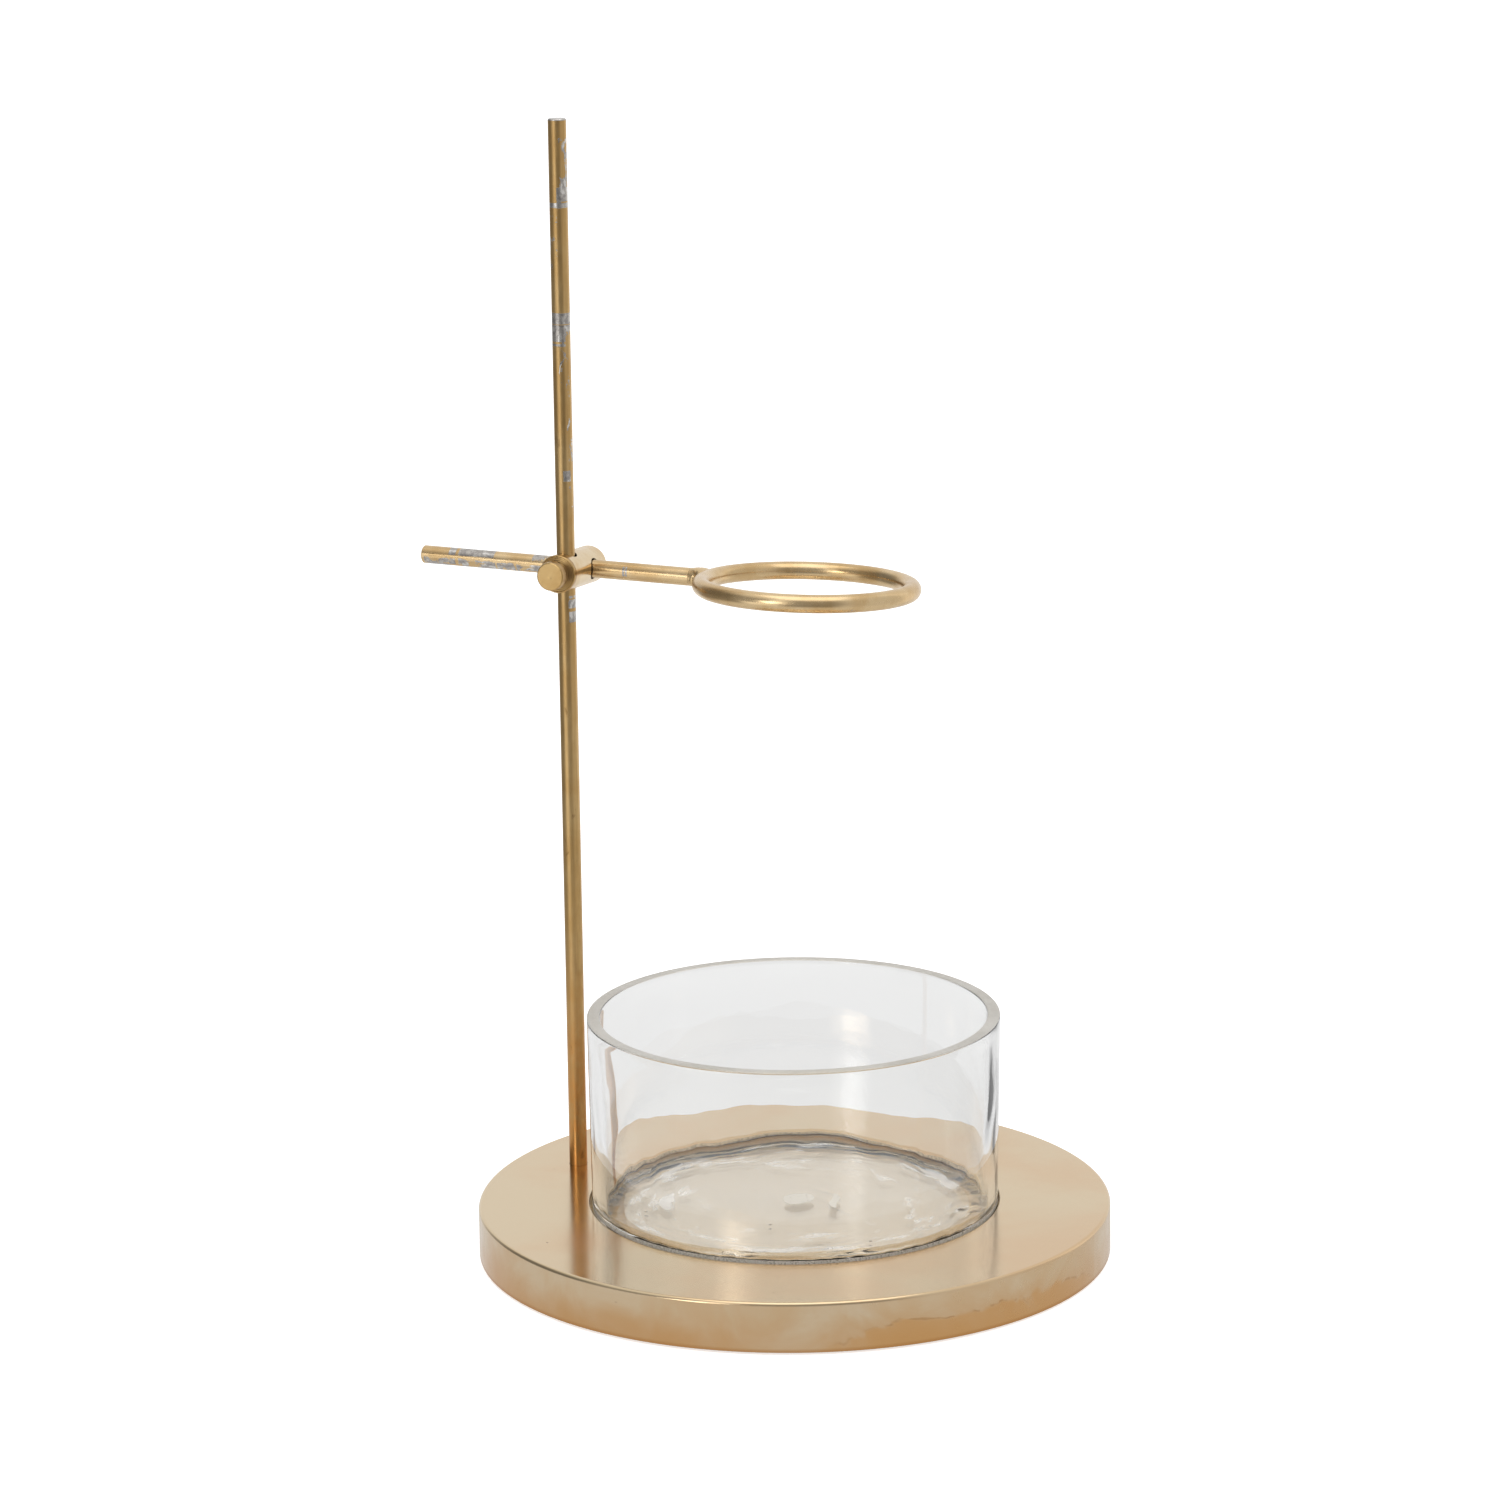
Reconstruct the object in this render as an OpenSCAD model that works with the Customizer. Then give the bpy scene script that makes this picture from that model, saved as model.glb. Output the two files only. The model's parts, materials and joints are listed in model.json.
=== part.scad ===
// Retort stand: a round weighted base with a glass dish in a shallow well, an upright rod, and a cross clamp
// that holds a support ring on a round arm. Millimetres, +Z up. The origin is the centre of the base's
// underside. +X runs along the arm from the rod towards the ring, and -Y faces the clamp's thumb screw.

/* [Base] */
// Diameter of the base
base_d = 208.6; // [190:0.2:220]
// Height of the base's top face above the surface it stands on
base_h = 17; // [16:0.5:22]
// Thickness of the spun brass cover
shell_t = 1.5; // [1:0.1:2]
// Radius of the cover's outer top edge
edge_r = 1.2; // [0.5:0.1:1.4]
// Depth of the well that the dish stands in
well_depth = 6; // [5:0.5:7]
// Thickness of the felt sheet under the base
felt_t = 1.4; // [1:0.1:1.5]

/* [Upright rod] */
// Diameter of the rod, the arm and the ring's wire
rod_d = 6; // [6:0.1:6.2]
// Height of the rod's top end
stand_h = 369.5; // [320:0.5:420]
// Distance of the rod behind the base's centre, along -X
rod_back = 81.8; // [80:0.1:84]
// Sideways place of the rod, along +Y
rod_side = 7.9; // [0:0.1:10]

/* [Clamp] */
// Height of the clamp's centre on the rod
clamp_z = 220.9; // [130:0.1:340]
// Diameter of the clamp's body
clamp_d = 12.5; // [12.2:0.1:14]
// Diameter of the two cross holes, loose on the rod and the arm
hole_d = 7; // [6.9:0.05:7.2]
// Distance between the rod's axis and the arm's axis
arm_offset = 10; // [9.8:0.1:10.4]
// Tip of the clamp in its loose hole: its thumb screw end sits high
tip_angle = 2.9; // [0:0.1:3]
// Droop of the arm towards the ring
droop_angle = 0.9; // [0:0.1:1]
// Diameter of the thumb screw's head
knob_d = 9.5; // [8:0.1:11]
// Thickness of the thumb screw's head
knob_t = 3.5; // [3:0.1:5]

/* [Arm and ring] */
// Distance from the rod to the ring's centre, along the arm
ring_reach = 81.1; // [70:0.1:90]
// Length of arm behind the rod
arm_tail = 56.6; // [20:0.2:60]
// Diameter of the ring, to the middle of its wire
ring_d = 68.6; // [60:0.1:72]

/* [Dish] */
// Outer diameter of the dish at its rim
dish_d = 135.5; // [130:0.5:138]
// Outer diameter of the dish at its foot
dish_foot_d = 134; // [128:0.5:134.4]
// Height of the dish
dish_h = 69.3; // [50:0.1:90]
// Thickness of the dish's wall
glass_t = 4.2; // [3:0.1:6]
// Thickness of the dish's floor
floor_t = 6; // [4:0.5:9]
// Sideways place of the dish in its well
dish_x = 0.3; // [0:0.1:0.3]

/* [Hidden] */
$fn = 96;
over = 1;                               // how far a cutter runs past a face
slip = 0.1;                             // assembly play of flat and round parts inside the base

base_r = base_d / 2;
rod_r = rod_d / 2;
rod_play = 0.1;                         // radial play of the rod in the base
rod_end_z = 3.6;                        // lower end of the rod
end_chamfer = 0.3;                      // broken edge on cut ends

well_r = 67.7;                          // radius of the well
well_z = base_h - well_depth;           // height of the well's floor
lip_r = 0.4;                            // rounding of the cover's edge round the well
cup_t = 1;                              // sheet thickness of the cup's wall and floor
cup_flange_r = 73;                      // outer radius of the cup's flange
cup_flange_t = 1.5;

shell_foot_z = 0.7;                     // the cover's lower edge hangs just clear of the surface
top_under_z = base_h - shell_t;         // underside of the cover's top
cover_in_r = base_r - shell_t;          // inside of the cover's side
plate_t = 1.5;                          // bottom plate
plate_z = felt_t;
ballast_z = plate_z + plate_t;
ballast_top_z = top_under_z - cup_flange_t;
screw_r = 1.5;                          // three countersunk bottom screws
screw_head_r = 2.9;
screw_len = 7;
screw_circle_r = 88;
screw_angles = [0, 120, 240];

socket_r = 8.5;                         // turned socket under the cover, which guides the rod
socket_len = 5.5;
socket_z = top_under_z - socket_len;
washer_t = 0.9;
washer_r = 6;
washer_z = socket_z - slip - washer_t;
nut_across_flats = 10;
nut_t = 4;
nut_z = washer_z - nut_t;

clamp_r = clamp_d / 2;
clamp_front = -5.5;                     // stations along the clamp, measured from the rod's axis
clamp_rear = 20.9;
clamp_dome_r = 3;                       // rounding of the clamp's rear end
hole_r = hole_d / 2;
arm_hole_y = arm_offset - 0.3;          // the arm is pressed back in its hole
channel_r = 2.4;                        // passage for the tip and the slug
spigot_r = 4.2;
spigot_len = 1.4;
collar_r = clamp_r + 0.05;
collar_t = 1.7;
thread_r = 2;                           // thumb screw's thread
thread_play = 0.05;
thread_end = -4.4;
knob_gap = 2.4;                         // bare neck between the head and the collar
knob_face = clamp_front - collar_t - knob_gap - knob_t;
tip_r = 1.6;
tip_t = 1;
slug_r = 2.25;
slug_from = 3.5;
slug_to = 6.75;

ring_r = ring_d / 2;
weld_len = 3.5;                         // length of bead on the arm
weld_rise = 0.9;                        // how far the bead stands out from the arm
weld_from = ring_reach - ring_r - rod_r - weld_len;

heel_r = 5;                             // rounding of the dish's foot
cove_r = 4;                             // rounding inside the dish, where wall meets floor
rim_round = 0.8;

BRASS = [0.80, 0.70, 0.52];
OLD_BRASS = [0.68, 0.54, 0.32];
SATIN_BRASS = [0.78, 0.70, 0.56];
STEEL = [0.70, 0.71, 0.72];
IRON = [0.25, 0.25, 0.26];
FELT = [0.16, 0.15, 0.14];
GLASS = [0.88, 0.90, 0.90, 0.35];

// Places its children on the rod, in the clamp's own directions: X along the arm, Y along the thumb screw
module on_clamp() {
    translate([-rod_back, rod_side, clamp_z]) rotate([-tip_angle, droop_angle, 0]) children();
}

// Places its children at the rod's foot
module at_rod() {
    translate([-rod_back, rod_side, 0]) children();
}

// A cylinder along Y, from one station to another
module y_rod(r, from, to) {
    translate([0, from, 0]) rotate([-90, 0, 0]) cylinder(r = r, h = to - from);
}

// A cylinder along X, from one station to another, with both edges broken by a chamfer
module x_bar(r, from, to, chamfer = 0) {
    translate([from, 0, 0]) rotate([0, 90, 0]) chamfered_rod(r, to - from, chamfer, chamfer);
}

// A cylinder with a chamfer at the bottom and one at the top
module chamfered_rod(r, h, low, high) {
    rotate_extrude()
        polygon([[0, 0], [r - low, 0], [r, low], [r, h - high], [r - high, h], [0, h]]);
}

// 2D: what a round of radius r cuts off the outer corner at [x, y]; up is 1 for a top corner, -1 for a bottom one
module corner_cut(x, y, r, up = 1) {
    translate([x - r, y]) scale([1, up]) difference() {
        translate([0, -r]) square([r + over, r + over]);
        translate([0, -r]) circle(r);
    }
}

module base_shell() {
    color(BRASS) difference() {
        rotate_extrude() difference() {
            square([base_r, base_h]);
            corner_cut(base_r, base_h, edge_r);
            translate([-over, -over]) square([well_r + over, base_h + 2 * over]);
            translate([2 * well_r, 0]) mirror([1, 0]) corner_cut(well_r, base_h, lip_r);
            translate([well_r - over, -over]) square([cover_in_r - well_r + over, top_under_z + over]);
            translate([-over, -over]) square([base_r + 2 * over, shell_foot_z + over]);
        }
        at_rod() cylinder(r = rod_r + rod_play, h = base_h + over);
    }
}

module recess_cup() {
    color(BRASS) rotate_extrude() union() {
        translate([0, well_z - cup_t]) square([well_r + cup_t, cup_t]);
        translate([well_r, well_z - cup_t]) square([cup_t, top_under_z - well_z + cup_t]);
        translate([well_r, top_under_z - cup_flange_t]) square([cup_flange_r - well_r, cup_flange_t]);
    }
}

module ballast_disc() {
    color(IRON) difference() {
        translate([0, 0, ballast_z]) cylinder(r = cover_in_r - 0.5, h = ballast_top_z - ballast_z - slip);
        translate([0, 0, well_z - cup_t - slip]) cylinder(r = well_r + cup_t + 0.8, h = base_h);
        at_rod() cylinder(r = socket_r + 0.5, h = base_h);
        for (a = screw_angles) rotate(a) translate([screw_circle_r, 0, 0])
            cylinder(r = screw_r + slip, h = plate_z + screw_len + 0.5);
    }
}

module bottom_plate() {
    color(STEEL) difference() {
        translate([0, 0, plate_z]) cylinder(r = cover_in_r - 0.2, h = plate_t);
        for (a = screw_angles) rotate(a) translate([screw_circle_r, 0, plate_z])
            screw_form(slip);
    }
}

// A countersunk screw standing on its head, grown by g for the hole it goes in
module screw_form(g) {
    head_h = screw_head_r - screw_r;
    rotate_extrude() polygon([
        [0, -g], [screw_head_r + g, -g], [screw_head_r + g, 0], [screw_r + g, head_h],
        [screw_r + g, screw_len + g], [0, screw_len + g]]);
}

module bottom_screws() {
    color(STEEL) for (a = screw_angles) rotate(a) translate([screw_circle_r, 0, plate_z])
        screw_form(0);
}

module base_felt() {
    color(FELT) cylinder(r = cover_in_r - 0.8, h = felt_t);
}

module rod_socket() {
    color(STEEL) at_rod() translate([0, 0, socket_z]) difference() {
        cylinder(r = socket_r, h = socket_len);
        translate([0, 0, -over]) cylinder(r = rod_r + rod_play, h = socket_len + 2 * over);
    }
}

module rod_washer() {
    color(STEEL) at_rod() translate([0, 0, washer_z]) difference() {
        cylinder(r = washer_r, h = washer_t);
        translate([0, 0, -over]) cylinder(r = rod_r + rod_play, h = washer_t + 2 * over);
    }
}

module rod_lock_nut() {
    corner_r = nut_across_flats / 2 / cos(30);
    color(STEEL) at_rod() translate([0, 0, nut_z]) difference() {
        cylinder(r = corner_r, h = nut_t, $fn = 6);
        translate([0, 0, -over]) cylinder(r = rod_r, h = nut_t + 2 * over);
    }
}

module upright_rod() {
    color(OLD_BRASS) at_rod() translate([0, 0, rod_end_z])
        chamfered_rod(rod_r, stand_h - rod_end_z, end_chamfer, end_chamfer);
}

module clamp_body() {
    color(SATIN_BRASS) on_clamp() difference() {
        translate([0, clamp_front, 0]) rotate([-90, 0, 0]) rotate_extrude() difference() {
            square([clamp_r, clamp_rear - clamp_front]);
            corner_cut(clamp_r, clamp_rear - clamp_front, clamp_dome_r);
        }
        translate([0, 0, -clamp_r - over]) cylinder(r = hole_r, h = clamp_d + 2 * over);
        translate([0, arm_hole_y, 0]) x_bar(hole_r, -clamp_r - over, clamp_r + over);
        y_rod(channel_r, clamp_front - over, arm_hole_y);
        y_rod(spigot_r + thread_play, clamp_front - over, clamp_front + spigot_len + thread_play);
    }
}

module clamp_collar() {
    color(SATIN_BRASS) on_clamp() difference() {
        union() {
            translate([0, clamp_front - collar_t, 0]) rotate([-90, 0, 0])
                chamfered_rod(collar_r, collar_t, 0.3, 0.3);
            y_rod(spigot_r, clamp_front - over / 2, clamp_front + spigot_len);
        }
        y_rod(thread_r + thread_play, clamp_front - collar_t - over, clamp_front + spigot_len + over);
    }
}

module spacer_slug() {
    color(STEEL) on_clamp() y_rod(slug_r, slug_from, slug_to);
}

module pressure_tip() {
    color(STEEL) on_clamp() y_rod(tip_r, thread_end + slip / 2, thread_end + slip / 2 + tip_t);
}

module thumb_screw() {
    color(OLD_BRASS) on_clamp() union() {
        translate([0, knob_face, 0]) rotate([-90, 0, 0]) chamfered_rod(knob_d / 2, knob_t, 0.4, 0.3);
        y_rod(thread_r, knob_face + knob_t / 2, thread_end);
    }
}

module support_arm() {
    color(OLD_BRASS) on_clamp() translate([0, arm_offset, 0]) difference() {
        x_bar(rod_r, -arm_tail, weld_from + over, end_chamfer);
        translate([weld_from, -clamp_d, -clamp_d]) cube(2 * clamp_d);
    }
}

module ring_wire() {
    translate([ring_reach, arm_offset, 0]) rotate_extrude() translate([ring_r, 0]) circle(rod_r);
}

module ring_weld() {
    reach = weld_len + rod_r;
    color(OLD_BRASS) on_clamp() difference() {
        translate([weld_from, arm_offset, 0]) rotate([0, 90, 0]) rotate_extrude() polygon([
            [0, 0], [rod_r, 0], [rod_r + 0.2, 1], [rod_r + 0.6 * weld_rise, 2.5],
            [rod_r + weld_rise, 4], [rod_r + 0.8 * weld_rise, 5], [rod_r + 0.2, reach], [0, reach]]);
        ring_wire();
    }
}

module support_ring() {
    color(OLD_BRASS) on_clamp() ring_wire();
}

module glass_dish() {
    rim_r = dish_d / 2;
    foot_r = dish_foot_d / 2;
    color(GLASS) translate([dish_x, 0, well_z]) rotate_extrude() difference() {
        polygon([[0, 0], [foot_r, 0], [foot_r, 2 * heel_r], [rim_r, dish_h - rim_round],
                 [rim_r, dish_h], [0, dish_h]]);
        corner_cut(foot_r, 0, heel_r, -1);
        corner_cut(rim_r, dish_h, rim_round);
        dish_hollow(foot_r - glass_t, rim_r - glass_t);
    }
}

// 2D: the inside of the dish, from its axis to the inner wall
module dish_hollow(low_r, high_r) {
    difference() {
        polygon([[-over, floor_t], [low_r, floor_t], [low_r, floor_t + 2 * cove_r],
                 [high_r, dish_h], [high_r, dish_h + over], [-over, dish_h + over]]);
        corner_cut(low_r, floor_t, cove_r, -1);
    }
}

base_shell();
recess_cup();
ballast_disc();
bottom_plate();
bottom_screws();
base_felt();
rod_socket();
rod_washer();
rod_lock_nut();
upright_rod();
clamp_body();
clamp_collar();
spacer_slug();
pressure_tip();
thumb_screw();
support_arm();
ring_weld();
support_ring();
glass_dish();
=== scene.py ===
import json
import math

import bmesh
import bpy
from mathutils import Matrix, Vector, noise


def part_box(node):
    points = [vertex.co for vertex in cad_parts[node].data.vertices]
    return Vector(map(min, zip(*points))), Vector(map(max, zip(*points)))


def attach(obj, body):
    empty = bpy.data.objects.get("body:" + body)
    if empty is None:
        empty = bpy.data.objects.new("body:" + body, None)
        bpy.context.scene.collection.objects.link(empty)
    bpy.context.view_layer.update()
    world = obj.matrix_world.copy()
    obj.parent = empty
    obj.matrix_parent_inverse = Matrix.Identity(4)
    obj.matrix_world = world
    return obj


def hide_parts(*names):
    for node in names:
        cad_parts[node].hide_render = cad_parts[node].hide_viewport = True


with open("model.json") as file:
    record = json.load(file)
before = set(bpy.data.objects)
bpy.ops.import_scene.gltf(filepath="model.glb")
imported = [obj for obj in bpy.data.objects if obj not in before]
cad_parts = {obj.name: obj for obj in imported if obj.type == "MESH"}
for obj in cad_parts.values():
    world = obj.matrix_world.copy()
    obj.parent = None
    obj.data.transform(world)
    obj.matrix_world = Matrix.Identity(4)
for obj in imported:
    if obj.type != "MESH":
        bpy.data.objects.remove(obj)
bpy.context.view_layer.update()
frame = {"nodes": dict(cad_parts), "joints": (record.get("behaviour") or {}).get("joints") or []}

MM = 0.001

# ---------------------------------------------------------------- places, from the frame

JOINTS = {joint["name"]: joint for joint in frame["joints"]}
ROD_AXIS = Vector(JOINTS["rod_swing"]["pos_m"])
ALONG_ARM = Vector(JOINTS["arm_reach"]["axis"]).normalized()
OUT_OF_SCREW = Vector(JOINTS["screw_turn"]["axis"]).normalized()
ARM_POINT = Vector(JOINTS["ring_tilt"]["pos_m"])
SCREW_POINT = Vector(JOINTS["screw_turn"]["pos_m"])


def clamp_place():
    """The clamp's own directions: X along the arm, -Y out of the thumb screw, origin on the rod's axis."""
    back = (SCREW_POINT.y - ROD_AXIS.y) / OUT_OF_SCREW.y
    origin = SCREW_POINT - OUT_OF_SCREW * back
    y_axis = -OUT_OF_SCREW
    z_axis = ALONG_ARM.cross(y_axis)
    place = Matrix((ALONG_ARM, y_axis, z_axis)).transposed().to_4x4()
    place.translation = origin
    return place


CLAMP = clamp_place()
TO_CLAMP = CLAMP.inverted()


def clamp_span(node, axis):
    """Lowest and highest place of a node along one of the clamp's own directions."""
    values = [(TO_CLAMP @ v.co)[axis] for v in frame["nodes"][node].data.vertices]
    return min(values), max(values)


base_low, base_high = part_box("base_shell")
rod_low, rod_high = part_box("upright_rod")
dish_low, dish_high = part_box("glass_dish")
felt_low, felt_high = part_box("base_felt")

DISH_MIDDLE = (dish_low + dish_high) / 2
BASE_R = base_high.x
BASE_TOP = base_high.z
ROD_R = (rod_high.x - rod_low.x) / 2
RING_SPAN = clamp_span("support_ring", 0)
RING_X = sum(RING_SPAN) / 2
RING_R = (RING_SPAN[1] - RING_SPAN[0]) / 2 - ROD_R
ARM_Y = (TO_CLAMP @ ARM_POINT).y
SCREW_PLACE = CLAMP @ Matrix.Rotation(math.radians(90), 4, "X")   # local Z runs out of the screw

# ---------------------------------------------------------------- camera

VIEW_AZIMUTH = math.radians(22.0)       # where the camera stands, from -Y towards +X
CAMERA_DISTANCE = 1.5676
CAMERA_HEIGHT = 0.5408
CAMERA_HEADING = math.radians(-0.47)    # turn to the right of the base's centre
CAMERA_PITCH = math.radians(13.346)
CAMERA_ROLL = math.radians(-0.702)
LENS = 119.46                           # on a 36 mm wide sensor


def make_camera():
    data = bpy.data.cameras.new("camera")
    data.sensor_width = 36
    data.lens = LENS
    data.clip_start, data.clip_end = 0.05, 60
    camera = bpy.data.objects.new("camera", data)
    bpy.context.scene.collection.objects.link(camera)
    heading = CAMERA_HEADING - VIEW_AZIMUTH
    forward = Vector((math.sin(heading) * math.cos(CAMERA_PITCH),
                      math.cos(heading) * math.cos(CAMERA_PITCH), -math.sin(CAMERA_PITCH)))
    level = Vector((math.cos(heading), -math.sin(heading), 0))
    upward = level.cross(forward)
    right = math.cos(CAMERA_ROLL) * level + math.sin(CAMERA_ROLL) * upward
    up = math.cos(CAMERA_ROLL) * upward - math.sin(CAMERA_ROLL) * level
    place = Matrix((right, up, -forward)).transposed().to_4x4()
    place.translation = (math.sin(VIEW_AZIMUTH) * CAMERA_DISTANCE,
                         -math.cos(VIEW_AZIMUTH) * CAMERA_DISTANCE, CAMERA_HEIGHT)
    camera.matrix_world = place
    bpy.context.scene.camera = camera


# ---------------------------------------------------------------- studio

def studio_direction(azimuth, elevation):
    """Unit vector to a place in the studio, in degrees: azimuth to the right of the camera, and elevation."""
    a = VIEW_AZIMUTH + math.radians(azimuth)
    e = math.radians(elevation)
    return Vector((math.sin(a) * math.cos(e), -math.cos(a) * math.cos(e), math.sin(e)))


# What stands round the object: azimuth, half width, soft edge (degrees) and brightness of each upright panel
WALL_PANELS = [
    (166, 40, 20, 0.56),
    (-31, 4, 6, 1.1),
    (82, 30, 24, 0.36),
    (-105, 16, 12, -0.16),
]
# The bright panels again, as the far floor gives them back
FLOOR_PANELS = [
    (166, 40, 20, 0.70),
    (-48, 12, 14, 0.95),
    (80, 34, 24, 0.42),
]
WALL_DARK = 0.40                        # the room between the panels
FLOOR_DARK = 0.32                       # the far floor between them
OVERHEAD = 0.95                         # the large light overhead
OVERHEAD_FROM, OVERHEAD_FULL = 32, 62   # elevations where it begins and is full
LAMP = 3.8                              # a round lamp to the left of the camera
LAMP_AT = (-38, 12)                     # its azimuth and elevation
LAMP_CORE, LAMP_EDGE = 5, 11            # its bright part and its soft edge, degrees from its middle
FLOOR_NEAR = 0.84                       # the floor's own light round the object
FLOOR_SEEN = 0.62                       # the floor's own light as the camera sees it
FLOOR_RADIUS = 12
STUDIO_MIDDLE = Vector((0, 0, rod_high.z * 0.5))


def cosine(degrees):
    return math.cos(math.radians(degrees))


def studio_glow(tree, direction, panels, dark):
    """Brightness of the studio in a direction: soft upright panels in a darker room, a large light overhead,
    and a round lamp."""
    flat = tree.vector("NORMALIZE", tree.level(direction))
    total = dark
    for azimuth, width, edge, strength in panels:
        facing = tree.dot(flat, studio_direction(azimuth, 0))
        total = tree.plus(total, tree.smooth(facing, cosine(width + edge), cosine(width), 0.0, strength))
    upward = tree.smooth(tree.dot(direction, (0, 0, 1)), math.sin(math.radians(OVERHEAD_FROM)),
                         math.sin(math.radians(OVERHEAD_FULL)))
    total = tree.mix(upward, total, OVERHEAD)
    to_lamp = tree.dot(direction, studio_direction(*LAMP_AT))
    return tree.plus(total, tree.smooth(to_lamp, cosine(LAMP_EDGE), cosine(LAMP_CORE), 0.0, LAMP))


def make_world():
    """The studio's glow on the object, behind which the camera sees plain white."""
    world = bpy.data.worlds.new("studio")
    world.use_nodes = True
    bpy.context.scene.world = world
    tree = Tree(world.node_tree)
    direction = tree.node("ShaderNodeTexCoord").outputs["Generated"]
    glow = studio_glow(tree, direction, WALL_PANELS, WALL_DARK)
    seen = tree.node("ShaderNodeLightPath").outputs["Is Camera Ray"]
    background = tree.node("ShaderNodeBackground")
    background.inputs["Color"].default_value = (1, 1, 1, 1)
    tree.link(tree.mix(seen, glow, 1.0), background.inputs["Strength"])
    output = tree.node("ShaderNodeOutputWorld")
    tree.link(background.outputs[0], output.inputs["Surface"])


def floor_material():
    """White paper floor. The camera sees plain white with a faint shadow. Reflections show its own light
    round the object, and the panels of the studio far from it."""
    material = bpy.data.materials.new("studio_floor")
    material.use_nodes = True
    tree = Tree(material.node_tree)
    place = tree.node("ShaderNodeNewGeometry").outputs["Position"]
    direction = tree.vector("NORMALIZE", tree.vector("SUBTRACT", place, STUDIO_MIDDLE))
    near = tree.smooth(tree.length(place), BASE_R * 5.5, BASE_R * 2.5)
    given = tree.mix(near, studio_glow(tree, direction, FLOOR_PANELS, FLOOR_DARK), FLOOR_NEAR)
    paper = tree.node("ShaderNodeBsdfDiffuse")
    paper.inputs["Color"].default_value = (0.9, 0.9, 0.9, 1)
    lamp = tree.node("ShaderNodeEmission")
    seen = tree.node("ShaderNodeLightPath").outputs["Is Camera Ray"]
    tree.link(tree.mix(seen, given, FLOOR_SEEN), lamp.inputs["Strength"])
    both = tree.node("ShaderNodeAddShader")
    tree.link(paper.outputs[0], both.inputs[0])
    tree.link(lamp.outputs[0], both.inputs[1])
    surface = tree.node("ShaderNodeMixShader")
    tree.link(seen, surface.inputs[0])
    tree.link(lamp.outputs[0], surface.inputs[1])
    tree.link(both.outputs[0], surface.inputs[2])
    output = tree.node("ShaderNodeOutputMaterial")
    tree.link(surface.outputs[0], output.inputs["Surface"])
    return material


def make_softbox():
    """Weak square light almost overhead."""
    data = bpy.data.lights.new("top_softbox", "AREA")
    data.shape = "RECTANGLE"
    data.size, data.size_y = 1.4, 1.4
    data.energy = 6
    light = bpy.data.objects.new("top_softbox", data)
    towards = studio_direction(10, 80)
    light.location = STUDIO_MIDDLE + towards * 1.6
    light.rotation_mode = "QUATERNION"
    light.rotation_quaternion = towards.to_track_quat("Z", "Y")
    light.visible_camera = False
    bpy.context.scene.collection.objects.link(light)


def make_studio():
    scene = bpy.context.scene
    scene.view_settings.view_transform = "Standard"
    make_world()
    make_softbox()

    mesh = bpy.data.meshes.new("floor")
    build = bmesh.new()
    bmesh.ops.create_circle(build, cap_ends=True, segments=64, radius=FLOOR_RADIUS)
    build.to_mesh(mesh)
    build.free()
    floor = bpy.data.objects.new("floor", mesh)
    scene.collection.objects.link(floor)
    floor.location.z = -0.1 * MM            # just clear of the felt's underside
    mesh.materials.append(floor_material())


# ---------------------------------------------------------------- shader nodes

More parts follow.
